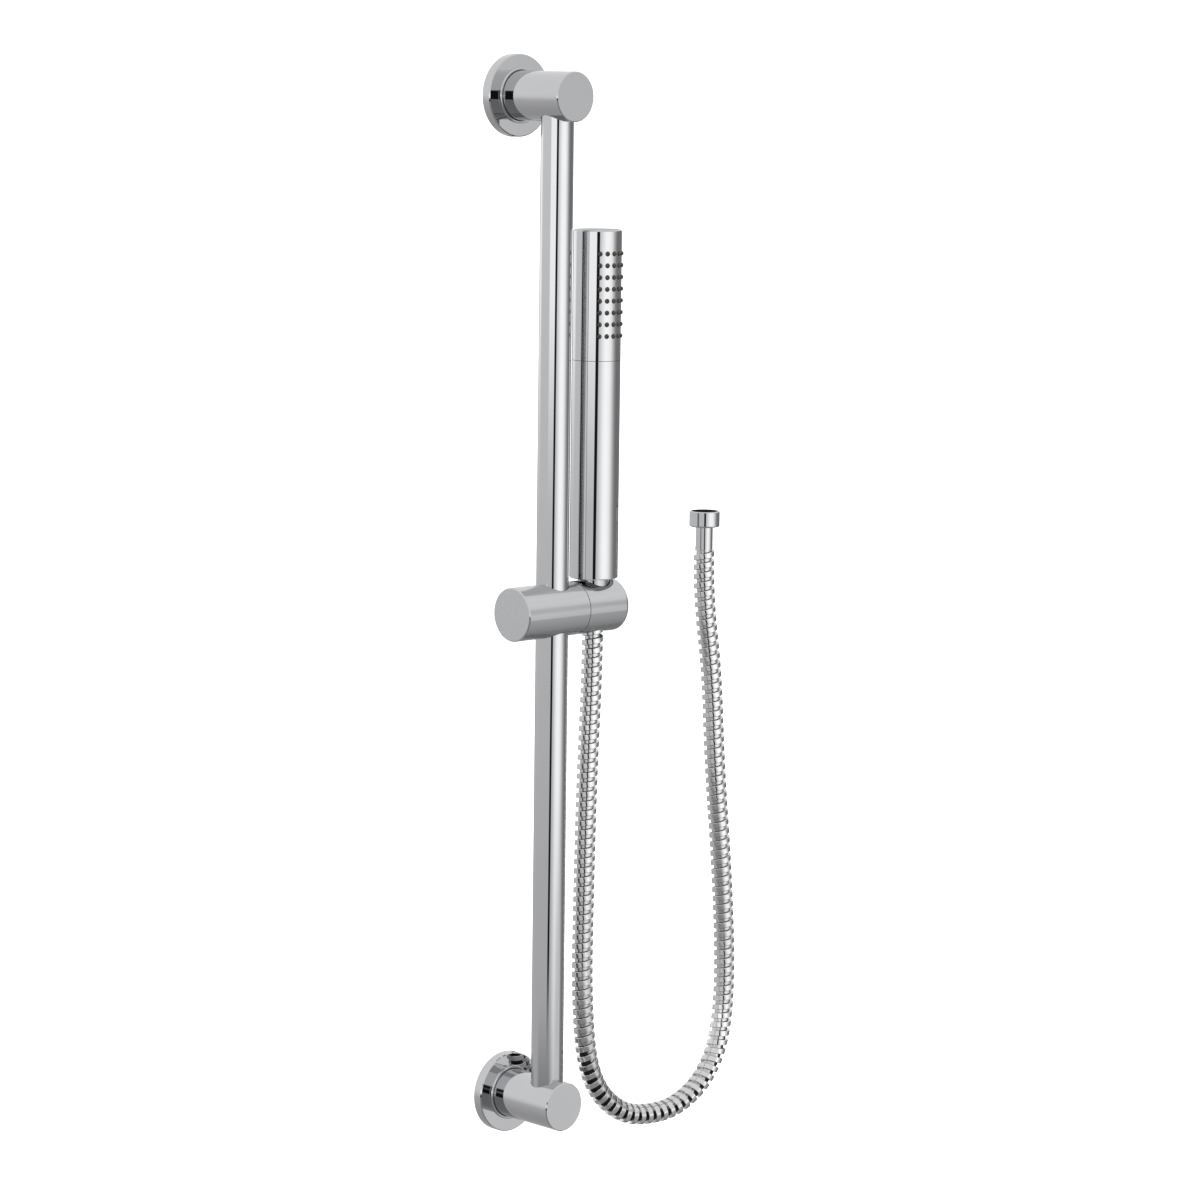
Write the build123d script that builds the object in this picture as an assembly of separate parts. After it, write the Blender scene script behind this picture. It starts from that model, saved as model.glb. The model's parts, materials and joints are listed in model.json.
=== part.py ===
from build123d import *
import math
import os

# Hand shower set for a wall: two brackets carry a round bar, a holder slides and turns on the bar, and
# its cradle carries a stick hand shower on a metal hose. Millimetres. The wall is the plane Y = 0 and
# -Y points out of it, +Z is up, and the origin is the middle of the upper bracket's wall face.

# Wall brackets
post_spacing = 780.0
bar_offset = 50.0
post_d = 38.0
post_reach = 70.0
post_edge = 0.7
flange_d = 63.0
flange_depth = 8.0
flange_wall = 2.0
flange_edge = 0.8
bead_w = 2.2
bead_h = 1.6
bead_edge = 0.95
plate_inset = 2.0
plate_t = 3.5
boss_d = 22.0
boss_len = 24.0
wall_hole_edge = 4.5
wall_hole_d = 5.0
wall_hole_count = 3
grub_d = 5.0
grub_from_wall = 17.0
grub_sink = 1.0
grub_flat = 1.2
grub_key = 2.5
grub_key_depth = 2.2
ring_wire = 1.6

# Bar
bar_d = 25.0
bar_wall = 1.5
bar_bite = 25.0
plug_head = 2.0
plug_spigot = 10.0
plug_wall = 2.0

# Sliding holder
holder_drop = 392.0
holder_d = 41.5
holder_wall = 2.6
holder_left = 42.0
cap_t = 2.4
cap_edge = 0.9
cap_spigot = 5.0
cap_spigot_wall = 3.0
holder_end_wall = 3.0
sleeve_wall = 1.2
sleeve_slit = 2.0
core_wall = 1.1
core_left = 16.0
shoe_d = 12.0
shoe_len = 5.0
spring_wire = 1.2
spring_turns = 5.0

# Swivel between holder and cradle
pivot_d = 10.0
pivot_thread_d = 8.0
pivot_grip = 6.5
pivot_head_d = 15.0
pivot_head_t = 2.2
pivot_key = 5.0
pivot_key_depth = 1.4
spring_washer_t = 0.7
drag_washer_t = 0.5
drag_washer_inset = 1.2

# Cradle and the cone nut of the hose
cradle_len = 42.0
cradle_end_round = 4.0
socket_inset = 21.5
cone_top_d = 24.4
cone_bottom_d = 21.2
cone_proud = 0.85
cone_inset = 4.75
liner_wall = 0.9
liner_inset = 0.8
inlet_thread_d = 20.9
stem_seat = 2.0
stem_flange_d = 19.0
stem_flange_t = 3.0
stem_barb_len = 12.0
stem_bore_d = 6.0
washer_t = 2.5
washer_bore_d = 9.0

# Hand shower
stick_d = 37.5
stick_wall = 1.8
stick_edge = 0.8
stick_gap = 1.25
handle_len = 169.0
head_len = 100.0
head_top_t = 2.4
head_top_round = 1.2
joint_len = 24.0
joint_wall = 3.0
joint_groove = 1.3
nozzle_columns = 5
nozzle_step_deg = 18.5
nozzle_pitch = 9.0
nozzle_first = 18.0
nozzle_d = 3.6
nozzle_tip_d = 3.0
nozzle_hole_d = 1.2
nozzle_proud = 1.8
pad_t = 1.8
pad_margin = 7.0
pad_margin_deg = 12.0
core_shell = 3.0
core_window = 14.0
connector_disc_t = 6.0
connector_bore_d = 13.0
restrictor_t = 4.0
restrictor_hole_d = 5.0
restrictor_ledge = 1.1
pipe_d = 16.0
pipe_wall = 1.4
pipe_socket_wall = 2.0
pipe_socket_len = 10.0

# Hose
hose_d = 16.0
hose_bore_d = 9.0
end_neck_d = 13.5
end_neck_len = 18.0
end_nut_d = 24.0
end_nut_len = 12.5
end_nut_floor = 2.0
end_nut_edge = 1.2
end_flange_t = 2.0
end_relief = 0.3

# Clearances
fit_gap = 0.05
slip_gap = 0.15
clear_gap = 0.3
part_gap = 0.4

# Share of a straight run that a round may take up
arc_share = 0.45

# Places that follow from the sizes
holder_z = -holder_drop
stick_bottom = holder_z + holder_d / 2 + stick_gap
stick_seam = stick_bottom + handle_len
stick_top = stick_seam + head_len
bar_r = bar_d / 2
bar_end = bar_bite - post_d / 2
sleeve_r = bar_r + fit_gap + sleeve_wall
core_bore_r = sleeve_r + fit_gap
core_right = core_bore_r + core_wall
pivot_head_x = core_right + part_gap
pivot_seat_x = pivot_head_x + pivot_head_t
end_wall_x = pivot_seat_x + spring_washer_t + fit_gap
seam_x = end_wall_x + holder_end_wall
cradle_x = seam_x + drag_washer_t + fit_gap
cradle_end = cradle_x + cradle_len
socket_x = cradle_x + socket_inset
shell_bore_r = holder_d / 2 - holder_wall
core_r = shell_bore_r - fit_gap
cone_top = holder_d / 2 + cone_proud
cone_bottom = holder_d / 2 - cone_inset
cap_inner_x = -holder_left + cap_t + cap_spigot

nodes = {}
base = (Align.CENTER, Align.CENTER, Align.MIN)


def turned(outline, arc=360):
    """A solid of revolution about Z from a closed outline of (radius, height) points."""
    corners = [(radius, 0, height) for radius, height in outline]
    return revolve(make_face(Polyline(*corners, close=True)), Axis.Z, arc)


def tube(outer_r, inner_r, low, high):
    return turned([(inner_r, low), (outer_r, low), (outer_r, high), (inner_r, high)])


def rod(radius, low, high):
    return Pos(0, 0, low) * Cylinder(radius, high - low, align=base)


def hexagon(across_flats, low, high):
    section = RegularPolygon(across_flats / 2, 6, major_radius=False)
    return Pos(0, 0, low) * extrude(section, high - low)


def out_of_wall(height):
    """Local +Z becomes -Y, away from the wall, with local Y upwards."""
    return Pos(0, 0, height) * Rot(90, 0, 0)


# Local +Z becomes +X along the holder's axis, or stays +Z on the hand shower's axis and on the bar's axis.
along_holder = Pos(0, -bar_offset, holder_z) * Rot(0, 90, 0)
on_socket = Pos(socket_x, -bar_offset, holder_z)
on_stick = Pos(socket_x, -bar_offset, 0)
on_bar = Pos(0, -bar_offset, 0)


def bracket(side, height, inward):
    """One wall bracket. inward is -1 where the bar leaves downwards and +1 where it leaves upwards."""
    place = out_of_wall(height)
    post_r = post_d / 2
    plate_r = flange_d / 2 - flange_wall - plate_inset
    wall_hole_r = plate_r - wall_hole_edge
    boss_top = plate_t + boss_len
    grub_tip = boss_d / 2 - grub_flat
    grub_head = post_r - grub_sink

    plate = rod(plate_r, 0, plate_t) + rod(boss_d / 2, 0, boss_top)
    for hole in PolarLocations(wall_hole_r, wall_hole_count, start_angle=90):
        plate -= hole * Cylinder(wall_hole_d / 2, 3 * plate_t)
    flat_size = (boss_d, grub_flat, 2 * grub_d)
    plate -= Pos(0, -grub_tip - grub_flat / 2, grub_from_wall) * Box(*flat_size)
    nodes[side + "_wall_plate"] = place * plate

    hole_r = post_r + slip_gap
    face = flange_depth
    inside_r = flange_d / 2 - flange_wall
    flange = turned(
        [
            (inside_r, 0),
            (flange_d / 2, 0),
            (flange_d / 2, face - flange_edge),
            (flange_d / 2 - flange_edge, face),
            (hole_r, face),
            (hole_r, face - flange_wall),
            (inside_r, face - flange_wall),
        ]
    )
    bead = tube(hole_r + bead_w, hole_r, face - flange_wall, face + bead_h)
    bead = fillet(bead.edges().group_by(Axis.Z)[-1], min(bead_edge, arc_share * bead_w))
    groove_z = face + (bead_h - flange_wall) / 2
    groove = tube(post_r + ring_wire, post_r, groove_z - ring_wire / 2, groove_z + ring_wire / 2)
    nodes[side + "_flange"] = place * (flange + bead - groove)

    ring_r = post_r + ring_wire / 2
    ring = Pos(0, 0, groove_z) * Torus(ring_r, ring_wire / 2 - fit_gap / 2)
    nodes[side + "_flange_ring"] = place * ring

    post = rod(post_r, plate_t, post_reach)
    post = chamfer(post.edges().group_by(Axis.Z)[-1], post_edge)
    post -= rod(boss_d / 2 + fit_gap, plate_t, boss_top + part_gap)
    seat_floor = bar_end + plug_head
    seat = Rot(-90 * inward, 0, 0) * rod(bar_r + slip_gap, -seat_floor, post_d)
    post -= Pos(0, 0, bar_offset) * seat
    thread = Rot(90, 0, 0) * rod(grub_d / 2 + fit_gap, 0, post_d)
    post -= Pos(0, 0, grub_from_wall) * thread
    nodes[side + "_post"] = place * post

    grub = rod(grub_d / 2, grub_tip, grub_head)
    grub -= hexagon(grub_key, grub_head - grub_key_depth, post_r)
    nodes[side + "_grub_screw"] = place * Pos(0, 0, grub_from_wall) * Rot(90, 0, 0) * grub

    plug_r = bar_r - bar_wall - fit_gap
    plug = rod(bar_r - fit_gap, 0, plug_head) + rod(plug_r, -plug_spigot, 0)
    plug -= rod(plug_r - plug_wall, -plug_spigot, 0)
    turn = Rot(0, 0, 0) if inward < 0 else Rot(180, 0, 0)
    nodes[side + "_bar_plug"] = Pos(0, -bar_offset, height - inward * bar_end) * turn * plug


bracket("upper", 0, -1)
bracket("lower", -post_spacing, 1)

# The bar is a drawn tube whose ends sit in blind seats in the two posts.
nodes["bar"] = on_bar * tube(bar_r, bar_r - bar_wall, -post_spacing - bar_end, bar_end)

# Holder shell: a tube closed at the cradle side, cross-bored for the bar.
shell = turned(
    [
        (shell_bore_r, cap_t - holder_left),
        (holder_d / 2, cap_t - holder_left),
        (holder_d / 2, seam_x),
        (pivot_d / 2 + fit_gap, seam_x),
        (pivot_d / 2 + fit_gap, end_wall_x),
        (shell_bore_r, end_wall_x),
    ]
)
shell_cross = Pos(0, -bar_offset, holder_z) * Cylinder(bar_r + clear_gap, 2 * holder_d)
nodes["holder_shell"] = along_holder * shell - shell_cross

cap = rod(holder_d / 2, -holder_left, cap_t - holder_left)
cap = chamfer(cap.edges().group_by(Axis.Z)[0], cap_edge)
cap += tube(core_r, core_r - cap_spigot_wall, cap_t - holder_left, cap_inner_x)
nodes["holder_end_cap"] = along_holder * cap

# Core: fills the shell, carries the split sleeve on the bar and the sprung brake shoe behind it.
core_start = -core_bore_r - core_left
core = rod(core_r, core_start, core_right) - rod(shoe_d / 2 + fit_gap, core_start, 0)
sleeve_room = Pos(0, -bar_offset, holder_z) * Cylinder(core_bore_r, 2 * holder_d)
nodes["holder_core"] = along_holder * core - sleeve_room

sleeve_half = math.sqrt(shell_bore_r**2 - sleeve_r**2) - part_gap
sleeve = tube(sleeve_r, bar_r + fit_gap, -sleeve_half, sleeve_half)
slit_size = (sleeve_wall * 3, sleeve_slit, 3 * sleeve_half)
sleeve -= Pos(bar_r + sleeve_wall / 2, 0, 0) * Box(*slit_size)
nodes["glide_sleeve"] = Pos(0, -bar_offset, holder_z) * sleeve

shoe_back = -core_bore_r - shoe_len
shoe = rod(shoe_d / 2, shoe_back, 0)
nodes["brake_shoe"] = along_holder * shoe - sleeve_room

spring_front = shoe_back - spring_wire / 2
spring_back = -holder_left + cap_t + spring_wire / 2
spring_r = shoe_d / 2 - spring_wire
spring_len = spring_front - spring_back
spring_path = Helix(spring_len / spring_turns, spring_len, spring_r)
spring_section = Plane(spring_path @ 0, z_dir=spring_path % 0) * Circle(spring_wire / 2)
spring = sweep(spring_section, path=spring_path)
nodes["brake_spring"] = along_holder * Pos(0, 0, spring_back) * spring

# Swivel: a shoulder screw through the shell's end wall into the cradle, with a spring and a drag washer.
screw = rod(pivot_head_d / 2, pivot_head_x, pivot_seat_x)
screw += rod(pivot_d / 2, pivot_seat_x, cradle_x)
screw += rod(pivot_thread_d / 2, cradle_x, cradle_x + pivot_grip)
screw -= hexagon(pivot_key, pivot_head_x, pivot_head_x + pivot_key_depth)
nodes["pivot_screw"] = along_holder * screw

pivot_room = pivot_d / 2 + slip_gap
spring_high = pivot_seat_x + spring_washer_t
spring_washer = tube(pivot_head_d / 2, pivot_room, pivot_seat_x, spring_high)
nodes["pivot_spring_washer"] = along_holder * spring_washer
drag_r = holder_d / 2 - drag_washer_inset
nodes["pivot_drag_washer"] = along_holder * tube(drag_r, pivot_room, seam_x, seam_x + drag_washer_t)


def cone_r(height):
    """Radius of the cone nut at a height above the holder's axis."""
    slope = (cone_top_d - cone_bottom_d) / 2 / (cone_top + cone_bottom)
    return cone_bottom_d / 2 + slope * (height + cone_bottom)


def cone(grow, low, high):
    return turned([(0, low), (cone_r(low) + grow, low), (cone_r(high) + grow, high), (0, high)])


# Cradle: a round block with a tapered socket through it and a thin liner that takes the cone nut.
socket_grow = fit_gap + liner_wall
holder_r = holder_d / 2
cradle = rod(holder_r, cradle_x, cradle_end)
cradle = fillet(cradle.edges().group_by(Axis.Z)[-1], cradle_end_round)
cradle -= rod(pivot_thread_d / 2 + fit_gap, cradle_x, cradle_x + pivot_grip + part_gap)
cradle = along_holder * cradle - on_socket * cone(socket_grow + fit_gap, -holder_d, holder_d)
nodes["cradle"] = cradle

liner = cone(socket_grow, -holder_r, holder_r) - cone(fit_gap, -holder_d, holder_d)
liner_trim = along_holder * rod(holder_r - liner_inset, cradle_x, cradle_end)
nodes["cradle_liner"] = (on_socket * liner) & liner_trim

# Cone nut on the hose: threaded for the hand shower's inlet, with a shoulder that the hose stem seats on.
stem_top = stem_flange_t - stem_seat
inlet_low = stem_top + washer_t
stem_room_r = stem_flange_d / 2 + fit_gap
nut = cone(0, -cone_bottom, cone_top)
nut -= rod(hose_d / 2 + slip_gap, -cone_bottom, -stem_seat)
nut -= rod(stem_room_r, -stem_seat, inlet_low)
nut -= rod(inlet_thread_d / 2 + fit_gap, inlet_low, cone_top)
nodes["cone_nut"] = on_socket * nut

stem = rod(stem_flange_d / 2, -stem_seat, stem_top)
stem += rod(hose_bore_d / 2 - fit_gap, -stem_seat - stem_barb_len, -stem_seat)
stem -= rod(stem_bore_d / 2, -stem_seat - stem_barb_len, stem_top)
nodes["cone_stem"] = on_socket * stem
cone_washer = tube(stem_flange_d / 2 - fit_gap, washer_bore_d / 2, stem_top, inlet_low)
nodes["cone_washer"] = on_socket * cone_washer

# Hand shower: handle tube with its inlet connector at the foot, and the spray head on a joint sleeve above.
stick_r = stick_d / 2
bore_r = stick_r - stick_wall
handle = tube(stick_r, bore_r, stick_bottom, stick_seam)
foot_rim = handle.edges().filter_by(GeomType.CIRCLE).group_by(Axis.Z)[0].sort_by(SortBy.RADIUS)[-1]
nodes["handle_tube"] = on_stick * chamfer(foot_rim, stick_edge)

disc_r = bore_r - fit_gap
inlet_bottom = holder_z + inlet_low
disc_top = stick_bottom + connector_disc_t
restrictor_seat = disc_top - restrictor_t
connector = rod(disc_r, stick_bottom, disc_top)
connector += rod(inlet_thread_d / 2, inlet_bottom, stick_bottom)
connector -= rod(connector_bore_d / 2 - restrictor_ledge, inlet_bottom, disc_top)
connector -= rod(connector_bore_d / 2, restrictor_seat, disc_top)
pipe_low = disc_top
pipe_room = pipe_d / 2 + fit_gap
socket_high = disc_top + pipe_socket_len
connector_socket = tube(pipe_d / 2 + pipe_socket_wall, pipe_room, disc_top, socket_high)
nodes["inlet_connector"] = on_stick * (connector + connector_socket)
restrictor_r = connector_bore_d / 2 - fit_gap
restrictor = tube(restrictor_r, restrictor_hole_d / 2, restrictor_seat, disc_top)
nodes["flow_restrictor"] = on_stick * restrictor

joint_low = stick_seam - joint_len / 2
joint_high = stick_seam + joint_len / 2
joint = tube(disc_r, disc_r - joint_wall, joint_low, joint_high)
joint += tube(disc_r - joint_wall, pipe_room, joint_low, joint_low + joint_wall)
seal_z = stick_seam + joint_len / 4
joint -= tube(disc_r, disc_r - joint_groove, seal_z - joint_groove / 2, seal_z + joint_groove / 2)
nodes["head_joint"] = on_stick * joint
seal_r = disc_r - joint_groove / 2
nodes["head_seal"] = on_stick * Pos(0, 0, seal_z) * Torus(seal_r, joint_groove / 2 - fit_gap / 2)
pipe_high = joint_low + joint_wall
nodes["water_pipe"] = on_stick * tube(pipe_d / 2, pipe_d / 2 - pipe_wall, pipe_low, pipe_high)

# Spray head: shell with a grid of holes, rubber pad with its nozzles behind them, and a core behind the pad.
nozzle_angles = [nozzle_step_deg * (n - (nozzle_columns - 1) / 2) for n in range(nozzle_columns)]
nozzle_run = head_len - nozzle_first - joint_len / 2 - pad_margin
nozzle_rows = 1 + int((nozzle_run + fit_gap) / nozzle_pitch)
nozzle_heights = [stick_top - nozzle_first - nozzle_pitch * n for n in range(nozzle_rows)]
radial = [Pos(0, 0, z) * Rot(0, 0, a) * Rot(90, 0, 0) for a in nozzle_angles for z in nozzle_heights]

head = turned(
    [
        (bore_r, stick_seam),
        (stick_r, stick_seam),
        (stick_r, stick_top),
        (0, stick_top),
        (0, stick_top - head_top_t),
        (bore_r, stick_top - head_top_t),
    ]
)
top_rim = head.edges().filter_by(GeomType.CIRCLE).group_by(Axis.Z)[-1]
head = fillet(top_rim, head_top_round)
hole_r = nozzle_d / 2 + slip_gap
head -= [place * rod(hole_r, stick_r / 2, 2 * stick_r) for place in radial]
nodes["spray_head"] = on_stick * head

pad_out = bore_r - fit_gap
pad_in = pad_out - pad_t
pad_arc = nozzle_angles[-1] - nozzle_angles[0] + 2 * pad_margin_deg
pad_low = joint_high
pad_high = nozzle_heights[0] + pad_margin
pad_outline = [(pad_in, pad_low), (pad_out, pad_low), (pad_out, pad_high), (pad_in, pad_high)]
pad = Rot(0, 0, -90 - pad_arc / 2) * turned(pad_outline, pad_arc)
tip = stick_r + nozzle_proud
nozzle_outline = [(0, pad_in + pad_t / 2), (nozzle_d / 2, pad_in + pad_t / 2)]
nozzle_outline += [(nozzle_d / 2, stick_r), (nozzle_tip_d / 2, tip), (0, tip)]
nozzle = turned(nozzle_outline)
pad += [place * nozzle for place in radial]
pad -= [place * rod(nozzle_hole_d / 2, pad_in / 2, 2 * stick_r) for place in radial]
nodes["nozzle_pad"] = on_stick * pad

core_out = pad_in - fit_gap
head_ceiling = stick_top - head_top_t
spray_core = tube(core_out, core_out - core_shell, joint_high, head_ceiling)
window_height = nozzle_heights[0] - nozzle_heights[-1] + nozzle_pitch
window_z = (nozzle_heights[0] + nozzle_heights[-1]) / 2
spray_core -= Pos(0, -core_out, window_z) * Box(core_window, core_out, window_height)
nodes["spray_core"] = on_stick * spray_core

# Hose: from the stem in the cone nut down, round a hanging loop and up to the nut for the water outlet.
hose_start = (socket_x, holder_z - stem_seat)
hose_route = [
    hose_start,
    (socket_x, -440.0),
    (39.2, -525.0),
    (37.0, -615.0),
    (36.0, -705.0),
    (49.0, -765.0),
    (78.0, -800.0),
    (118.0, -811.5),
    (147.0, -808.0),
    (178.0, -790.5),
    (197.0, -757.5),
    (196.5, -700.0),
    (191.5, -620.0),
    (182.5, -540.0),
    (174.0, -460.0),
    (164.0, -394.0),
    (164.0, -357.0),
]
hose_points = [Vector(x, -bar_offset, z) for x, z in hose_route]
hose_runs = [b - a for a, b in zip(hose_points, hose_points[1:])]
hose_radii = []
for before, after in zip(hose_runs, hose_runs[1:]):
    half_turn = math.radians(before.get_angle(after)) / 2
    hose_radii.append(arc_share * min(before.length, after.length) / math.tan(half_turn))
hose_line = FilletPolyline(*hose_points, radius=hose_radii)
hose_plane = Plane(hose_line @ 0, z_dir=hose_line % 0)
hose_section = Circle(hose_d / 2) - Circle(hose_bore_d / 2)
nodes["hose"] = sweep(hose_plane * hose_section, path=hose_line)
print("hose radii", [round(radius) for radius in hose_radii])
section_area = math.pi / 4 * (hose_d**2 - hose_bore_d**2)
print("hose length", round(hose_line.length, 1), "volume", round(nodes["hose"].volume))
print("section times length", round(section_area * hose_line.length))

# Free end: a neck crimped in the hose, and the nut that turns on it, with its washer.
end_x, end_z = hose_route[-1]
on_end = Pos(end_x, -bar_offset, end_z)
nut_low = end_neck_len
nut_high = nut_low + end_nut_len
flange_low = nut_low + end_nut_floor
flange_top = flange_low + end_flange_t
thread_r = inlet_thread_d / 2 + fit_gap
washer_low = flange_top + fit_gap
washer_high = washer_low + washer_t
neck = rod(end_neck_d / 2, 0, flange_top)
neck += rod(thread_r - clear_gap, flange_low + fit_gap, flange_top)
neck += rod(hose_bore_d / 2 - fit_gap, -stem_barb_len, 0)
neck -= rod(stem_bore_d / 2, -stem_barb_len, flange_top)
nodes["end_neck"] = on_end * neck

end_nut = rod(end_nut_d / 2, nut_low, nut_high)
end_nut = fillet(end_nut.edges().group_by(Axis.Z)[0], end_nut_edge)
end_nut = chamfer(end_nut.edges().group_by(Axis.Z)[-1], end_nut_edge / 2)
end_nut -= rod(end_neck_d / 2 + fit_gap, nut_low, flange_low)
end_nut -= rod(thread_r + end_relief, flange_low, washer_high)
end_nut -= rod(thread_r, washer_high, nut_high)
nodes["end_nut"] = on_end * end_nut
end_washer = tube(thread_r - clear_gap, washer_bore_d / 2, washer_low, washer_high)
nodes["end_washer"] = on_end * end_washer

os.makedirs("parts", exist_ok=True)
for name, solid in nodes.items():
    export_step(solid, f"parts/{name}.step")
print(len(nodes), "nodes written")
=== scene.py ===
import json
import math
import bmesh
import bpy
from mathutils import Matrix, Vector


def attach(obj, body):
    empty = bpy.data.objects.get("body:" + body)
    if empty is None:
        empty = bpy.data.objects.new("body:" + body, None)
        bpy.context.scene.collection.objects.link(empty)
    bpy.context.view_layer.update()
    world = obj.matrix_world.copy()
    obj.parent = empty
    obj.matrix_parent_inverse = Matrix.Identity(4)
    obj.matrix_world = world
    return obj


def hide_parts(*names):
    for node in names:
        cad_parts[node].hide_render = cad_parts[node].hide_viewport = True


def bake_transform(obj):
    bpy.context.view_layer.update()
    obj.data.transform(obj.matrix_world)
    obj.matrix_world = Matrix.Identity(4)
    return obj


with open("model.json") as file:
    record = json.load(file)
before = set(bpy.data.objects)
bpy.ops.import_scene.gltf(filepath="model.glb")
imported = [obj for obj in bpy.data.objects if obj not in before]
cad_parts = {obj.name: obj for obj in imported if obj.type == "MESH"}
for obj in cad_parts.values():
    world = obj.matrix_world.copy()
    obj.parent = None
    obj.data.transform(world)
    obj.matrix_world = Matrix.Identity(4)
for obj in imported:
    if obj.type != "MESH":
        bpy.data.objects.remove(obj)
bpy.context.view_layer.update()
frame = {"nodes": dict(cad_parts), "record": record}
cadNodes = frame["nodes"]
wholeTurn = 2 * math.pi
stickAxis = (0.0433, -0.05)  # where the hand shower stands, beside the bar
print("frame loaded with", len(cadNodes), "nodes")

# the view that the photograph was taken from
viewer = {
    "place": (-2.10444, -2.31788, 0.03949),
    "azimuth": -43.539,  # degrees, round the bar
    "lookDown": 7.786,
    "roll": 0.725,
    "lens": 121.96,
    "sensor": 36.0,
    "farthest": 100.0,
}


def addCamera(setup):
    turn = math.radians(setup["azimuth"])
    dip = math.radians(setup["lookDown"])
    roll = math.radians(setup["roll"])
    ahead = Vector((-math.sin(turn) * math.cos(dip), math.cos(turn) * math.cos(dip), -math.sin(dip)))
    level = Vector((math.cos(turn), math.sin(turn), 0))
    upright = level.cross(ahead)
    right = math.cos(roll) * level + math.sin(roll) * upright
    up = math.cos(roll) * upright - math.sin(roll) * level
    facing = Matrix((right, up, -ahead)).transposed().to_4x4()
    data = bpy.data.cameras.new("viewer")
    data.lens = setup["lens"]
    data.sensor_width = setup["sensor"]
    data.clip_end = setup["farthest"]
    camera = bpy.data.objects.new("viewer", data)
    camera.matrix_world = Matrix.Translation(setup["place"]) @ facing
    bpy.context.scene.collection.objects.link(camera)
    bpy.context.scene.camera = camera
    print("camera at", setup["place"])


addCamera(viewer)


# small helpers for node trees and meshes

def addNode(tree, kind, sockets=None, **settings):
    node = tree.nodes.new(kind)
    for name, value in settings.items():
        setattr(node, name, value)
    for socket, value in (sockets or {}).items():
        if isinstance(value, bpy.types.NodeSocket):
            tree.links.new(value, node.inputs[socket])
        else:
            node.inputs[socket].default_value = value
    return node


def calc(tree, operation, first, second=0.0):
    node = addNode(tree, "ShaderNodeMath", {0: first, 1: second}, operation=operation)
    return node.outputs[0]


def vectorCalc(tree, operation, first, second):
    key = "Scale" if operation == "SCALE" else 1
    node = addNode(tree, "ShaderNodeVectorMath", {0: first, key: second}, operation=operation)
    return node.outputs[0]


def rescale(tree, value, low, high, **settings):
    # nought at the low end and one at the high end
    sockets = {"Value": value, "From Min": low, "From Max": high}
    return addNode(tree, "ShaderNodeMapRange", sockets, **settings).outputs["Result"]


def tint(tree, factor, first, second):
    # each colour is a socket or three numbers
    mixed = addNode(tree, "ShaderNodeMix", {"Factor": factor}, data_type="RGBA")
    for socket, colour in (("A", first), ("B", second)):
        if isinstance(colour, bpy.types.NodeSocket):
            tree.links.new(colour, mixed.inputs[socket])
        else:
            mixed.inputs[socket].default_value = (*colour, 1)
    return mixed.outputs["Result"]


def startTree(name, sockets):
    tree = bpy.data.node_groups.new(name, "GeometryNodeTree")
    tree.is_modifier = True
    tree.interface.new_socket("Geometry", in_out="INPUT", socket_type="NodeSocketGeometry")
    tree.interface.new_socket("Geometry", in_out="OUTPUT", socket_type="NodeSocketGeometry")
    for label, kind in sockets:
        tree.interface.new_socket(label, in_out="INPUT", socket_type="NodeSocket" + kind)
    given = tree.nodes.new("NodeGroupInput").outputs
    return tree, given


def endTree(tree, geometry, material):
    real = addNode(tree, "GeometryNodeRealizeInstances", {0: geometry})
    painted = addNode(tree, "GeometryNodeSetMaterial", {"Geometry": real.outputs[0], "Material": material})
    out = tree.nodes.new("NodeGroupOutput")
    tree.links.new(painted.outputs[0], out.inputs[0])


def growPiece(piece, tree, values):
    # runs the tree on the piece and leaves a plain mesh in its place
    modifier = piece.modifiers.new(tree.name, "NODES")
    modifier.node_group = tree
    for socket in tree.interface.items_tree:
        if socket.item_type == "SOCKET" and socket.in_out == "INPUT" and socket.name in values:
            modifier[socket.identifier] = values[socket.name]
    bpy.context.view_layer.update()
    ready = piece.evaluated_get(bpy.context.evaluated_depsgraph_get())
    grown = bpy.data.meshes.new_from_object(ready, depsgraph=bpy.context.evaluated_depsgraph_get())
    piece.modifiers.remove(modifier)
    piece.data = grown
    grown.name = piece.name


def newPiece(name, data):
    piece = bpy.data.objects.new(name, data)
    bpy.context.scene.collection.objects.link(piece)
    return piece


def meshFrom(build, name):
    mesh = bpy.data.meshes.new(name)
    build.to_mesh(mesh)
    build.free()
    return mesh


# finishes: a colour between dark and light, a roughness between two values, and how fine the noises are
metalLooks = {
    "polishedChrome": {
        "dark": (0.555, 0.56, 0.572),
        "light": (0.60, 0.602, 0.615),
        "rough": (0.012, 0.03),
        "haze": 30,
        "grain": 900,
        "grainDepth": 0.00001,
    },
    "satinChrome": {
        "dark": (0.54, 0.552, 0.56),
        "light": (0.62, 0.628, 0.633),
        "rough": (0.12, 0.19),
        "haze": 420,
        "grain": 1600,
        "grainDepth": 0.00002,
        "drawn": 0.04,  # the noises are drawn out along the holder
    },
    "bareSteel": {
        "dark": (0.52, 0.52, 0.53),
        "light": (0.60, 0.60, 0.61),
        "rough": (0.3, 0.38),
        "haze": 600,
        "grain": 2500,
        "grainDepth": 0.00003,
    },
    "turnedBrass": {
        "dark": (0.62, 0.47, 0.22),
        "light": (0.78, 0.62, 0.32),
        "rough": (0.18, 0.32),
        "haze": 90,
        "grain": 1800,
        "grainDepth": 0.00004,
    },
}
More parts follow.
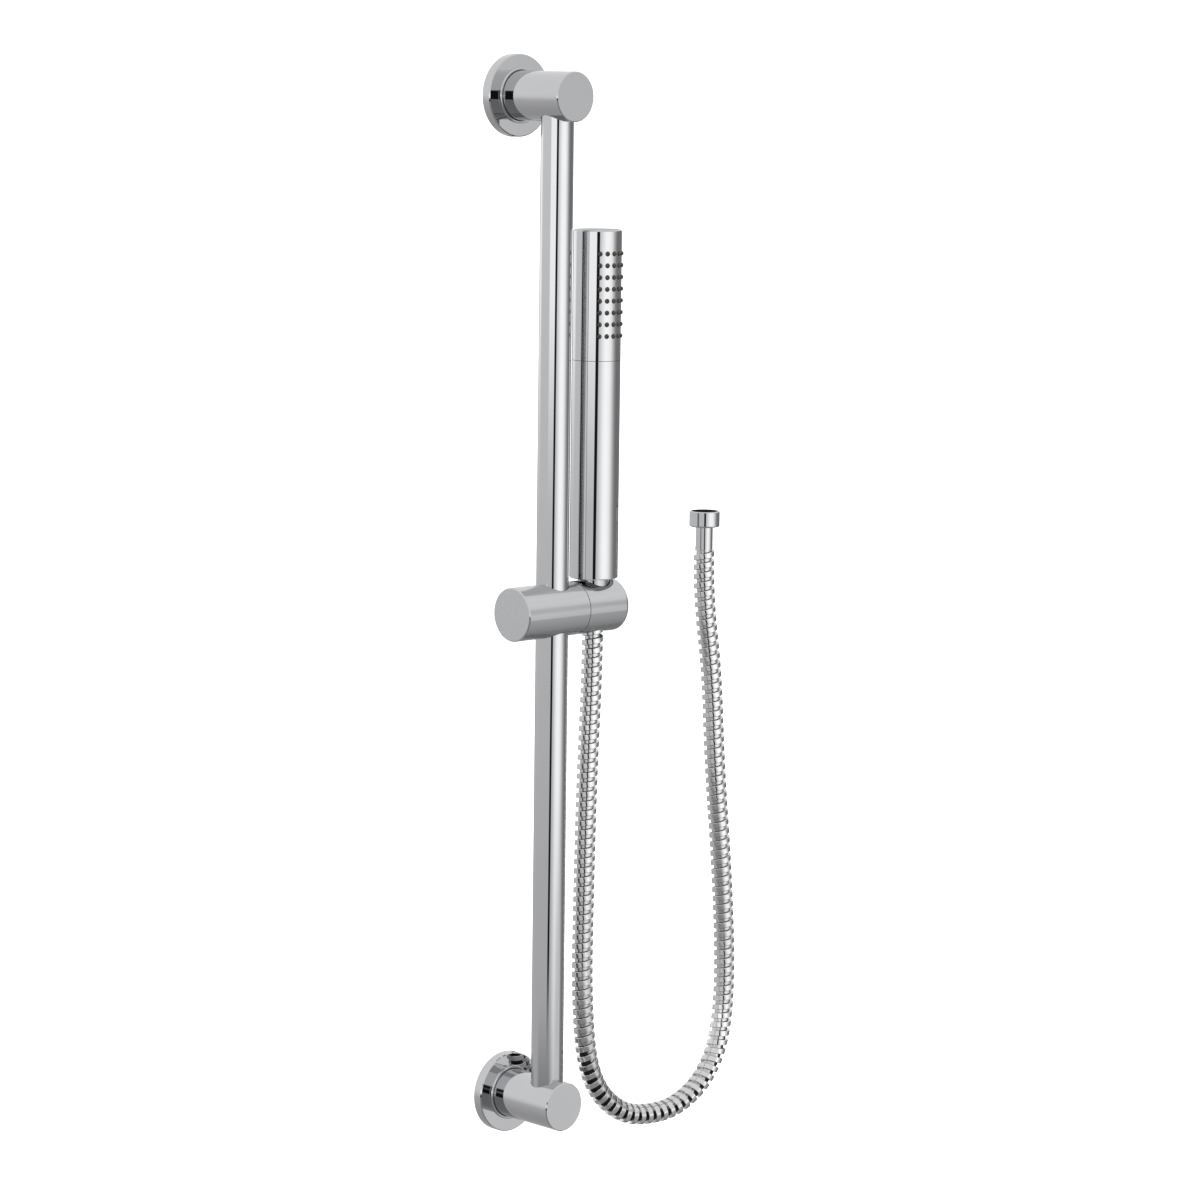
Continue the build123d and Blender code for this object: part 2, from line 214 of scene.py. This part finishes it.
softLooks = {
    "greyNylon": {
        "dark": (0.20, 0.21, 0.22),
        "light": (0.27, 0.28, 0.30),
        "rough": (0.45, 0.6),
        "grain": 700,
    },
    "blackSeal": {
        "dark": (0.012, 0.012, 0.013),
        "light": (0.03, 0.03, 0.032),
        "rough": (0.5, 0.7),
        "grain": 500,
    },
    "nozzleRubber": {
        "dark": (0.05, 0.048, 0.04),
        "light": (0.12, 0.112, 0.092),
        "rough": (0.35, 0.5),
        "grain": 1100,
    },
}
hoseLook = {
    "dark": (0.62, 0.62, 0.63),
    "light": (0.71, 0.71, 0.72),
    # the dark colour of the painted shade in the groove and the inside
    "recess": (0.035, 0.035, 0.037),
    "rough": (0.03, 0.07),
    "recessRough": 0.4,
    "haze": 260,
    "grain": 1400,
    "grainDepth": 0.00003,
}
noiseSpan = (0.3, 0.7)  # nearly all of a noise lies between these
speckleDetail = 3.0
grainDetail = 2.0
metalBump = 0.05
softBump = 0.4
softGrainDepth = 0.0001


def startFinish(name):
    finish = bpy.data.materials.new(name)
    finish.use_nodes = True
    tree = finish.node_tree
    shader = tree.nodes["Principled BSDF"]
    place = addNode(tree, "ShaderNodeTexCoord").outputs["Object"]
    return finish, tree, shader, place


def addNoise(tree, place, scale, detail):
    noise = addNode(tree, "ShaderNodeTexNoise", {"Vector": place, "Scale": scale, "Detail": detail})
    return noise.outputs["Fac"]


def speckle(tree, place, scale, low, high):
    # a soft noise, as it is and spread between two values
    noise = addNoise(tree, place, scale, speckleDetail)
    spread = addNode(tree, "ShaderNodeMapRange", {
        "Value": noise,
        "From Min": noiseSpan[0],
        "From Max": noiseSpan[1],
        "To Min": low,
        "To Max": high,
    })
    return noise, spread.outputs["Result"]


def addBump(tree, shader, height, strength, distance):
    bump = addNode(tree, "ShaderNodeBump", {"Height": height, "Strength": strength, "Distance": distance})
    tree.links.new(bump.outputs["Normal"], shader.inputs["Normal"])


def metalFinish(name):
    look = metalLooks[name]
    finish, tree, shader, place = startFinish(name)
    drawn = (look.get("drawn", 1.0), 1.0, 1.0)
    place = addNode(tree, "ShaderNodeMapping", {"Vector": place, "Scale": drawn}).outputs[0]
    shader.inputs["Metallic"].default_value = 1.0
    haze, roughness = speckle(tree, place, look["haze"], *look["rough"])
    tree.links.new(tint(tree, haze, look["dark"], look["light"]), shader.inputs["Base Color"])
    tree.links.new(roughness, shader.inputs["Roughness"])
    grain = addNoise(tree, place, look["grain"], grainDetail)
    addBump(tree, shader, grain, metalBump, look["grainDepth"])
    return finish


def softFinish(name):
    look = softLooks[name]
    finish, tree, shader, place = startFinish(name)
    grain, roughness = speckle(tree, place, look["grain"], *look["rough"])
    tree.links.new(tint(tree, grain, look["dark"], look["light"]), shader.inputs["Base Color"])
    tree.links.new(roughness, shader.inputs["Roughness"])
    addBump(tree, shader, grain, softBump, softGrainDepth)
    return finish


def hoseFinish(look):
    # the strip is bright; the groove between its turns and the inside get painted shade, mixed toward a dark
    # colour, and are rougher there
    finish, tree, shader, place = startFinish("hoseChrome")
    shader.inputs["Metallic"].default_value = 1.0
    haze, roughness = speckle(tree, place, look["haze"], *look["rough"])
    bright = tint(tree, haze, look["dark"], look["light"])
    # how much painted shade a place gets, which also makes it rougher
    recess = addNode(tree, "ShaderNodeAttribute", attribute_name="recess").outputs["Fac"]
    tree.links.new(tint(tree, recess, bright, look["recess"]), shader.inputs["Base Color"])
    dull = addNode(tree, "ShaderNodeMath", {0: recess, 1: look["recessRough"], 2: roughness},
                   operation="MULTIPLY_ADD")
    tree.links.new(dull.outputs[0], shader.inputs["Roughness"])
    grain = addNoise(tree, place, look["grain"], grainDetail)
    addBump(tree, shader, grain, metalBump, look["grainDepth"])
    return finish


chrome = metalFinish("polishedChrome")
satinChrome = metalFinish("satinChrome")
hoseChrome = hoseFinish(hoseLook)
sealRubber = softFinish("blackSeal")
nozzleRubber = softFinish("nozzleRubber")
finishes = {
    "polished_chrome": chrome,
    "hose_strip": hoseChrome,
    "bare_steel": metalFinish("bareSteel"),
    "turned_brass": metalFinish("turnedBrass"),
    "grey_nylon": softFinish("greyNylon"),
    "black_seal": sealRubber,
    "nozzle_rubber": nozzleRubber,
}
for part in frame["record"]["subparts"]:
    cadNodes[part["node"]].data.materials.clear()
    cadNodes[part["node"]].data.materials.append(finishes[part["material_slot"]])
for name in ("holder_shell", "holder_end_cap", "cradle"):
    cadNodes[name].data.materials[0] = satinChrome
cadNodes["inlet_connector"].data.materials[0] = chrome  # plated, as its collar shows under the hand shower
print("finishes set on", len(cadNodes), "nodes")

# the hose, from the stem in the cone nut round its loop to the neck of the free end
hose = {
    "diameter": 0.016,
    "pitch": 0.0075,
    "stripRadius": 0.0082,
    "stripWidth": 0.0043,
    "stripThick": 0.0025,
    "valleyRadius": 0.0061,
    "valleyWidth": 0.0029,
    "valleyThick": 0.0006,
    "valleyPaintedShade": 0.15,
    "edgeRound": 0.00028,
    "sharpDegrees": 25,  # an edge that turns by more than this is shaded sharp
    "loopCentre": (0.118, -0.05, -0.70),  # round the foot of the loop the turns pull apart
    "loopTop": -0.715,
    # share of painted shade on the valleys, which also makes them a little rougher
    "loopFoot": -0.80,
    "valleyDrop": 0.0012,
    "valleySpread": 0.6,  # how slowly the drop grows from the inside of the loop to its outside
    "coreRadius": 0.0057,
    "coreSides": 32,
    "coreStepsPerTurn": 3,
    "unshadedEnd": 0.007,  # the last of the inside has no painted shade, so it is as bright as the neck it meets
    "lineSteps": 24,
    "stepsPerTurn": 28,
    "tiltEnds": 0.106,  # lengths along the hose where it changes from one body to the next
    "swivelEnds": 0.246,
    "bendTop": 0.019,
    "slack": 1e-6,
}
hoseRoute = [  # the loop swings a little into the room
    (*stickAxis, -0.394),
    (*stickAxis, -0.440),
    (0.039, -0.050, -0.525),
    (0.037, -0.050, -0.615),
    (0.036, -0.050, -0.705),
    (0.043, -0.052, -0.770),
    (0.076, -0.055, -0.803),
    (0.116, -0.059, -0.807),
    (0.140, -0.061, -0.800),
    (0.162, -0.062, -0.785),
    (0.179, -0.062, -0.756),
    (0.184, -0.062, -0.703),
    (0.180, -0.060, -0.616),
    (0.173, -0.057, -0.534),
    (0.171, -0.054, -0.456),
    (0.164, -0.050, -0.394),
    (0.164, -0.050, -0.357),
]


def hoseLine(setup, route):
    curve = bpy.data.curves.new("hoseLine", "CURVE")
    curve.dimensions = "3D"
    curve.resolution_u = setup["lineSteps"]
    spline = curve.splines.new("NURBS")
    spline.points.add(len(route) - 1)
    for point, spot in zip(spline.points, route):
        point.co = (*spot, 1)
    spline.order_u = 3
    spline.use_endpoint_u = True
    holder = newPiece("hoseLine", curve)
    bpy.context.view_layer.update()
    line = bpy.data.meshes.new_from_object(holder)
    bpy.data.objects.remove(holder)
    return line


def stripTree():
    tree, given = startTree("hoseStrip", [
        ("From", "Float"), ("To", "Float"), ("Across", "Vector"),
        ("Pitch", "Float"), ("Steps per Turn", "Float"),
        ("Crest Radius", "Float"), ("Crest Width", "Float"), ("Crest Thickness", "Float"),
        ("Valley Radius", "Float"), ("Valley Width", "Float"), ("Valley Thickness", "Float"),
        ("Valley Dulling", "Float"), ("Valley Drop", "Float"), ("Valley Spread", "Float"),
        ("Loop Centre", "Vector"), ("Loop Top", "Float"), ("Loop Foot", "Float"),
        ("Edge Round", "Float"), ("Sharp Angle", "Float"),
        ("Core Radius", "Float"), ("Core Sides", "Int"), ("Core Step", "Float"), ("Dark Until", "Float"),
        ("Material", "Material")])
    line = addNode(tree, "GeometryNodeMeshToCurve", {"Mesh": given["Geometry"]}).outputs[0]
    step = calc(tree, "DIVIDE", given["Pitch"], given["Steps per Turn"])
    fine = addNode(tree, "GeometryNodeResampleCurve", {"Curve": line, "Length": step}, mode="LENGTH")
    kept = addNode(tree, "GeometryNodeCaptureAttribute")
    kept.capture_items.new("FLOAT", "along")
    kept.capture_items.new("VECTOR", "ahead")
    tree.links.new(fine.outputs[0], kept.inputs["Geometry"])
    tree.links.new(addNode(tree, "GeometryNodeSplineParameter").outputs["Length"], kept.inputs["along"])
    tree.links.new(addNode(tree, "GeometryNodeInputTangent").outputs[0], kept.inputs["ahead"])
    span = addNode(tree, "GeometryNodeTrimCurve", mode="LENGTH")
    tree.links.new(kept.outputs["Geometry"], span.inputs["Curve"])
    startSocket, endSocket = [s for s in span.inputs if s.name in ("Start", "End") and s.enabled]
    tree.links.new(given["From"], startSocket)
    tree.links.new(given["To"], endSocket)

    # the strip winds round the line, right-handed, one turn for each pitch
    side = vectorCalc(tree, "CROSS_PRODUCT", kept.outputs["ahead"], given["Across"])
    front = vectorCalc(tree, "CROSS_PRODUCT", kept.outputs["ahead"], side)

    # the valleys sink between the turns round the foot of the loop, and most of all on its outside
    place = addNode(tree, "GeometryNodeInputPosition").outputs[0]
    fromCentre = vectorCalc(tree, "SUBTRACT", place, given["Loop Centre"])
    away = addNode(tree, "ShaderNodeVectorMath", {0: fromCentre}, operation="NORMALIZE").outputs[0]
    height = addNode(tree, "ShaderNodeSeparateXYZ", {0: place}).outputs["Z"]
    depth = rescale(tree, height, given["Loop Top"], given["Loop Foot"])
    inward = calc(tree, "MULTIPLY", given["Valley Spread"], -1.0)

    def wind(shift, radius, thick, width, drop=0.0):
        turns = calc(tree, "DIVIDE", kept.outputs["along"], given["Pitch"])
        angle = calc(tree, "MULTIPLY", calc(tree, "ADD", turns, shift), wholeTurn)
        outward = vectorCalc(tree, "ADD",
                             vectorCalc(tree, "SCALE", side, calc(tree, "COSINE", angle)),
                             vectorCalc(tree, "SCALE", front, calc(tree, "SINE", angle)))
        outside = addNode(tree, "ShaderNodeVectorMath", {0: outward, 1: away}, operation="DOT_PRODUCT")
        spread = rescale(tree, outside.outputs["Value"], inward, given["Valley Spread"])
        sunk = calc(tree, "MULTIPLY", calc(tree, "MULTIPLY", spread, depth), drop)
        reach = vectorCalc(tree, "SCALE", outward, calc(tree, "SUBTRACT", radius, sunk))
        wound = addNode(tree, "GeometryNodeSetPosition", {"Geometry": span.outputs[0], "Offset": reach})
        turned = addNode(tree, "GeometryNodeSetCurveNormal",
                         {"Curve": wound.outputs[0], "Normal": outward}, mode="FREE")
        section = addNode(tree, "GeometryNodeCurvePrimitiveQuadrilateral", {"Width": thick, "Height": width})
        eased = addNode(tree, "GeometryNodeFilletCurve",
                        {"Curve": section.outputs[0], "Radius": given["Edge Round"], "Count": 1}, mode="POLY")
        swept = addNode(tree, "GeometryNodeCurveToMesh",
                        {"Curve": turned.outputs[0], "Profile Curve": eased.outputs[0], "Fill Caps": True})
        return swept.outputs[0]

    # stores how much painted shade, with extra roughness, a part of the hose gets
    def paintRecessShade(geometry, value):
        marked = addNode(tree, "GeometryNodeStoreNamedAttribute",
                         {"Geometry": geometry, "Name": "recess", "Value": value}, data_type="FLOAT")
        return marked.outputs[0]

    strip = wind(0.0, given["Crest Radius"], given["Crest Thickness"], given["Crest Width"])
    valley = wind(0.5, given["Valley Radius"], given["Valley Thickness"], given["Valley Width"],
                  given["Valley Drop"])
    # the valleys get a little painted shade and a little more roughness
    valley = paintRecessShade(valley, given["Valley Dulling"])

    # the inside that shows in the slits between crest and valley, with painted shade along all but its last
    # stretch
    coarse = addNode(tree, "GeometryNodeResampleCurve",
                     {"Curve": span.outputs[0], "Length": given["Core Step"]}, mode="LENGTH")
    ring = addNode(tree, "GeometryNodeCurvePrimitiveCircle",
                   {"Resolution": given["Core Sides"], "Radius": given["Core Radius"]})
    core = addNode(tree, "GeometryNodeCurveToMesh",
                   {"Curve": coarse.outputs[0], "Profile Curve": ring.outputs[0]})
    # painted shade on the inside, all along but for the stretch by the neck
    dark = calc(tree, "LESS_THAN", kept.outputs["along"], given["Dark Until"])
    joined = addNode(tree, "GeometryNodeJoinGeometry")
    for geometry in (paintRecessShade(core.outputs[0], dark), valley, strip):
        tree.links.new(geometry, joined.inputs[0])

    # round faces are shaded smooth, and the strip's edges stay sharp
    smooth = addNode(tree, "GeometryNodeSetShadeSmooth", {"Geometry": joined.outputs[0]}).outputs[0]
    bend = addNode(tree, "GeometryNodeInputMeshEdgeAngle").outputs["Unsigned Angle"]
    corner = addNode(tree, "FunctionNodeCompare", {0: bend, 1: given["Sharp Angle"]},
                     operation="GREATER_THAN").outputs[0]
    crisp = addNode(tree, "GeometryNodeSetShadeSmooth",
                    {"Geometry": smooth, "Selection": corner, "Shade Smooth": False}, domain="EDGE")
    endTree(tree, crisp.outputs[0], given["Material"])
    return tree


def lineLengths(points):
    lengths = [0.0]
    for a, b in zip(points, points[1:]):
        lengths.append(lengths[-1] + (b - a).length)
    return lengths


def makeHose(setup, route):
    line = hoseLine(setup, route)
    points = [v.co.copy() for v in line.vertices]
    lengths = lineLengths(points)
    whole = lengths[-1]
    tree = stripTree()
    cuts = [0.0, setup["tiltEnds"], setup["swivelEnds"], whole]
    pieces = []
    for name, start, end in zip(("hose_upper", "hose_middle", "hose_lower"), cuts, cuts[1:]):
        piece = newPiece(name, line.copy())
        growPiece(piece, tree, {
            "From": start,
            "To": end,
            "Pitch": setup["pitch"],
            "Steps per Turn": setup["stepsPerTurn"],
            "Across": (0, 1, 0),
            "Crest Radius": setup["stripRadius"] - setup["stripThick"] / 2,
            "Crest Width": setup["stripWidth"],
            "Crest Thickness": setup["stripThick"],
            "Valley Radius": setup["valleyRadius"] - setup["valleyThick"] / 2,
            "Valley Width": setup["valleyWidth"],
            "Valley Thickness": setup["valleyThick"],
            "Valley Dulling": setup["valleyPaintedShade"],
            "Valley Drop": setup["valleyDrop"],
            "Valley Spread": setup["valleySpread"],
            "Loop Centre": setup["loopCentre"],
            "Loop Top": setup["loopTop"],
            "Loop Foot": setup["loopFoot"],
            "Edge Round": setup["edgeRound"],
            "Sharp Angle": math.radians(setup["sharpDegrees"]),
            "Core Radius": setup["coreRadius"],
            "Core Sides": setup["coreSides"],
            "Core Step": setup["pitch"] / setup["coreStepsPerTurn"],
            "Dark Until": whole - setup["unshadedEnd"],
            "Material": hoseChrome,
        })
        path = [p for p, s in zip(points, lengths) if start - setup["slack"] <= s <= end + setup["slack"]]
        print(name, len(piece.data.polygons), "faces,", round(end - start, 3), "m")
        pieces.append((piece, path, end - start))
        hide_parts("hose")
    return pieces


hosePieces = makeHose(hose, hoseRoute)
hoseUpper, upperPath, upperLength = hosePieces[0]
hoseMiddle, middlePath, middleLength = hosePieces[1]
hoseLower, lowerPath, lowerLength = hosePieces[2]
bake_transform(hoseUpper)
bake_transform(hoseMiddle)
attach(hoseLower, "slider")
print("hose made")

# the rubber nozzles on their curved pad behind the spray head
nozzles = {
    "centre": stickAxis,
    "columns": 5,
    "rows": 8,
    "stepDegrees": 18.5,
    "pitch": 0.009,
    "firstRow": -0.119,
    "outer": 0.01875,  # radius of the spray head
    "proud": 0.0015,
    "radius": 0.0017,
    "sides": 14,
    "dome": [(1.0, 0.0), (0.98, 0.35), (0.88, 0.72)],  # shares of the radius and of the height above the head
    "tipRadius": 0.00085,
    "tipEase": 0.0001,
    "tipShoulder": 0.95,
    "dimple": [(0.0006, 1.0), (0.00054, 0.3), (0.0001, 0.2)],  # radius, and share of the height
    "padOuter": 0.0169,
    "padThick": 0.0018,
    "padTop": -0.112,
    "padFoot": -0.189,
    "padDegrees": 98.0,
    "padSteps": 28,
}


def lathe(build, outline, segments, close=False):
    # turns an outline of (radius, height) into a round skin
    rings = []
    for radius, height in outline:
        ring = []
        for n in range(segments):
            angle = wholeTurn * n / segments
            ring.append(build.verts.new((radius * math.cos(angle), radius * math.sin(angle), height)))
        rings.append(ring)
    for low, high in zip(rings, rings[1:]):
        for n in range(segments):
            m = (n + 1) % segments
            build.faces.new((low[n], low[m], high[m], high[n]))
    if close:
        build.faces.new(list(reversed(rings[0])))
        build.faces.new(rings[-1])


def nubMesh(setup):
    # a soft dome with a dimple where the water leaves
    root = setup["padOuter"] - setup["padThick"] / 2 - setup["outer"]
    wide, tip, ease, proud = setup["radius"], setup["tipRadius"], setup["tipEase"], setup["proud"]
    outline = [(wide, root)]
    outline += [(wide * across, proud * up) for across, up in setup["dome"]]
    outline += [(tip + ease, proud * setup["tipShoulder"]), (tip - ease, proud)]
    outline += [(radius, proud * up) for radius, up in setup["dimple"]]
    build = bmesh.new()
    lathe(build, outline, setup["sides"], close=True)
    bmesh.ops.recalc_face_normals(build, faces=build.faces)
    return meshFrom(build, "nozzleNub")


def padMesh(setup):
    # the curved pad, facing the room
    build = bmesh.new()
    x, y = setup["centre"]
    inner = setup["padOuter"] - setup["padThick"]
    corners = [(inner, setup["padFoot"]), (setup["padOuter"], setup["padFoot"]),
               (setup["padOuter"], setup["padTop"]), (inner, setup["padTop"])]
    loops = []
    for n in range(setup["padSteps"] + 1):
        angle = math.radians(setup["padDegrees"] * (n / setup["padSteps"] - 0.5) - 90)
        spots = [(x + r * math.cos(angle), y + r * math.sin(angle), z) for r, z in corners]
        loops.append([build.verts.new(spot) for spot in spots])
    for a, b in zip(loops, loops[1:]):
        for n in range(len(corners)):
            m = (n + 1) % len(corners)
            build.faces.new((a[n], a[m], b[m], b[n]))
    build.faces.new(loops[0])
    build.faces.new(list(reversed(loops[-1])))
    bmesh.ops.recalc_face_normals(build, faces=build.faces)
    return meshFrom(build, "nozzlePad")


def nozzleTree():
    tree, given = startTree("nozzleRows", [
        ("Nub", "Object"), ("Columns", "Int"), ("Rows", "Int"), ("Step", "Float"), ("Pitch", "Float"),
        ("First Row", "Float"), ("Radius", "Float"), ("Centre", "Vector"), ("Material", "Material")])
    count = calc(tree, "MULTIPLY", given["Columns"], given["Rows"])
    points = addNode(tree, "GeometryNodePoints", {"Count": count}).outputs[0]
    index = addNode(tree, "GeometryNodeInputIndex").outputs[0]
    column = calc(tree, "MODULO", index, given["Columns"])
    row = calc(tree, "FLOOR", calc(tree, "DIVIDE", calc(tree, "ADD", index, 0.5), given["Columns"]))
    middle = calc(tree, "DIVIDE", calc(tree, "SUBTRACT", given["Columns"], 1.0), 2.0)
    angle = calc(tree, "MULTIPLY", calc(tree, "SUBTRACT", column, middle), given["Step"])
    outward = addNode(tree, "ShaderNodeCombineXYZ", {
        "X": calc(tree, "SINE", angle),
        "Y": calc(tree, "MULTIPLY", calc(tree, "COSINE", angle), -1.0)}).outputs[0]
    height = calc(tree, "SUBTRACT", given["First Row"], calc(tree, "MULTIPLY", row, given["Pitch"]))
    raised = addNode(tree, "ShaderNodeCombineXYZ", {"Z": height}).outputs[0]
    onAxis = vectorCalc(tree, "ADD", given["Centre"], raised)
    place = vectorCalc(tree, "ADD", onAxis, vectorCalc(tree, "SCALE", outward, given["Radius"]))
    spots = addNode(tree, "GeometryNodeSetPosition", {"Geometry": points, "Position": place}).outputs[0]
    turn = addNode(tree, "FunctionNodeAlignRotationToVector", {"Vector": outward}, axis="Z").outputs[0]
    nub = addNode(tree, "GeometryNodeObjectInfo", {"Object": given["Nub"]}).outputs["Geometry"]
    nubs = addNode(tree, "GeometryNodeInstanceOnPoints", {"Points": spots, "Instance": nub, "Rotation": turn})
    smooth = addNode(tree, "GeometryNodeSetShadeSmooth", {"Geometry": nubs.outputs[0]}).outputs[0]
    both = addNode(tree, "GeometryNodeJoinGeometry")
    tree.links.new(given["Geometry"], both.inputs[0])
    tree.links.new(smooth, both.inputs[0])
    endTree(tree, both.outputs[0], given["Material"])
    return tree


def makeNozzles(setup):
    nub = newPiece("nozzleNub", nubMesh(setup))
    piece = newPiece("spray_nozzles", padMesh(setup))
    growPiece(piece, nozzleTree(), {
        "Nub": nub,
        "Columns": setup["columns"],
        "Rows": setup["rows"],
        "Step": math.radians(setup["stepDegrees"]),
        "Pitch": setup["pitch"],
        "First Row": setup["firstRow"],
        "Radius": setup["outer"],
        "Centre": (*setup["centre"], 0.0),
        "Material": nozzleRubber,
    })
    bpy.data.objects.remove(nub)
    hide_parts("nozzle_pad")
    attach(piece, "cradle")
    print("nozzles made,", len(piece.data.polygons), "faces")


makeNozzles(nozzles)

# the hairline where the spray head meets the handle
headSeam = {
    "height": -0.201,
    "width": 0.00035,
    "depth": 0.0004,
    "proud": 0.00002,
    "sides": 96,
    "weld": 1e-7,
}


def makeSeam(setup, head):
    outer = head["outer"] + setup["proud"]
    inner = head["outer"] - setup["depth"]
    half = setup["width"] / 2
    outline = [(inner, -half), (outer, -half), (outer, half), (inner, half), (inner, -half)]
    build = bmesh.new()
    lathe(build, outline, setup["sides"])
    bmesh.ops.remove_doubles(build, verts=build.verts, dist=setup["weld"])
    bmesh.ops.recalc_face_normals(build, faces=build.faces)
    bmesh.ops.translate(build, verts=build.verts, vec=(*head["centre"], setup["height"]))
    piece = newPiece("head_seam", meshFrom(build, "head_seam"))
    piece.data.materials.append(sealRubber)
    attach(piece, "cradle")
    print("seam made")


makeSeam(headSeam, nozzles)

# the studio: a pale floor, and soft panels all round with a dark gap beside the camera
studio = {
    "floorDrop": 1.9,  # the bar hangs at its usual height above the floor
    "floorSize": 40.0,
    "floorSides": 96,
    "floorTint": ((0.93, 0.93, 0.93), (0.96, 0.96, 0.96)),
    "floorRough": (0.8, 0.9),
    "floorGrain": 40,
    "floorGlow": 0.75,
    "white": (1.0, 1.0, 1.0),
    "panelGain": 1.43,  # polished chrome gives back a little over half of this
    # sine of the height, and brightness there
    "wall": [(-0.70, 0.30), (-0.25, 0.41), (-0.12, 0.53), (-0.03, 0.62), (0.12, 0.66)],
    # soft panels, each over the one before: degrees to the right of the camera at eye level, how far that
    # leans below it, sines of the height, and how far the left, right, lower and upper sides fade
    "panels": {
        "lowFront": {"centre": -10, "lean": 0, "half": 45, "low": -1.0, "high": -0.26,
                     "fades": (30, 40, 0.1, 0.03), "bright": 0.22},
        "leftStrip": {"centre": -21, "lean": 0, "half": 17, "low": -0.05, "high": 0.0,
                      "fades": (7, 3, 0.07, 0.12), "bright": 1.0},
        "rearStrip": {"centre": -137, "lean": 0, "half": 13, "low": -0.05, "high": 0.0,
                      "fades": (12, 12, 0.07, 0.12), "bright": 0.93},
        "key": {"centre": 50, "lean": 0, "half": 4, "low": -0.14, "high": 0.0,
                "fades": (40, 50, 0.2, 0.12), "bright": 1.08},
        "rightShade": {"centre": 128, "lean": -50, "half": 16, "low": -1.0, "high": 0.12,
                       "fades": (45, 12, 0.1, 0.25), "bright": 0.17},
        "lowRight": {"centre": 80, "lean": 0, "half": 10, "low": -0.28, "high": -0.24,
                     "fades": (30, 9, 0.06, 0.06), "bright": 0.58},
        "gap": {"centre": 6, "lean": 25, "half": 6, "low": -0.22, "high": 0.2,
                "fades": (2, 2, 0.03, 0.08), "bright": 0.01},
        "rearGap": {"centre": 180, "lean": 0, "half": 20, "low": -0.25, "high": -0.03,
                    "fades": (10, 10, 0.08, 0.14), "bright": 0.025},
    },
}


def addFloor(setup):
    build = bmesh.new()
    bmesh.ops.create_circle(build, cap_ends=True, segments=setup["floorSides"], radius=setup["floorSize"])
    bmesh.ops.translate(build, verts=build.verts, vec=(0, 0, -setup["floorDrop"]))
    floor = newPiece("floor", meshFrom(build, "floor"))
    paint, tree, shader, place = startFinish("paleFloor")
    grain, roughness = speckle(tree, place, setup["floorGrain"], *setup["floorRough"])
    tree.links.new(tint(tree, grain, *setup["floorTint"]), shader.inputs["Base Color"])
    tree.links.new(roughness, shader.inputs["Roughness"])
    shader.inputs["Emission Color"].default_value = (*setup["white"], 1)
    shader.inputs["Emission Strength"].default_value = setup["floorGlow"]
    floor.visible_glossy = False  # the chrome mirrors the panels alone
    floor.visible_diffuse = False
    floor.data.materials.append(paint)


def wallShade(tree, height, stops):
    low, high = stops[0][0], stops[-1][0]
    ramp = addNode(tree, "ShaderNodeValToRGB", {0: rescale(tree, height, low, high)})
    steps = ramp.color_ramp.elements
    while len(steps) < len(stops):
        steps.new(0.5)
    for step, (sine, bright) in zip(steps, stops):
        step.position = (sine - low) / (high - low)
        step.color = (bright, bright, bright, 1)
    return ramp.outputs["Color"]


def panelMask(tree, bearing, height, panel):
    left, right, down, up = panel["fades"]
    leaned = calc(tree, "MULTIPLY", calc(tree, "MINIMUM", height, 0.0), panel["lean"])
    middle = calc(tree, "ADD", leaned, panel["centre"])
    aside = addNode(tree, "ShaderNodeMath", {0: calc(tree, "SUBTRACT", bearing, middle), 1: 180.0, 2: -180.0},
                    operation="WRAP").outputs[0]
    sides = [
        (aside, -panel["half"] - left, -panel["half"]),
        (aside, panel["half"] + right, panel["half"]),
        (height, panel["low"] - down, panel["low"]),
        (height, panel["high"] + up, panel["high"]),
    ]
    mask = 1.0
    for value, outer, inner in sides:
        edge = rescale(tree, value, outer, inner, interpolation_type="SMOOTHSTEP")
        mask = calc(tree, "MULTIPLY", edge, mask)
    return mask


def addStudioLight(setup, view):
    world = bpy.data.worlds.new("studio")
    bpy.context.scene.world = world
    world.use_nodes = True
    tree = world.node_tree
    tree.nodes.clear()
    toward = addNode(tree, "ShaderNodeTexCoord").outputs["Generated"]
    faced = addNode(tree, "ShaderNodeVectorRotate",
                    {"Vector": toward, "Angle": -math.radians(view["azimuth"])}, rotation_type="Z_AXIS")
    parts = addNode(tree, "ShaderNodeSeparateXYZ", {0: faced.outputs[0]})
    height = parts.outputs["Z"]
    turned = calc(tree, "ARCTAN2", parts.outputs["X"], calc(tree, "MULTIPLY", parts.outputs["Y"], -1.0))
    bearing = calc(tree, "DEGREES", turned)
    shade = wallShade(tree, height, setup["wall"])
    for panel in setup["panels"].values():
        shade = tint(tree, panelMask(tree, bearing, height, panel), shade, (panel["bright"],) * 3)
    seen = addNode(tree, "ShaderNodeLightPath").outputs["Is Camera Ray"]
    shown = tint(tree, seen, shade, setup["white"])
    light = addNode(tree, "ShaderNodeBackground", {"Color": shown, "Strength": setup["panelGain"]})
    out = addNode(tree, "ShaderNodeOutputWorld")
    tree.links.new(light.outputs[0], out.inputs["Surface"])


addFloor(studio)
addStudioLight(studio, viewer)
bpy.context.scene.view_settings.view_transform = "Standard"
print("studio set")
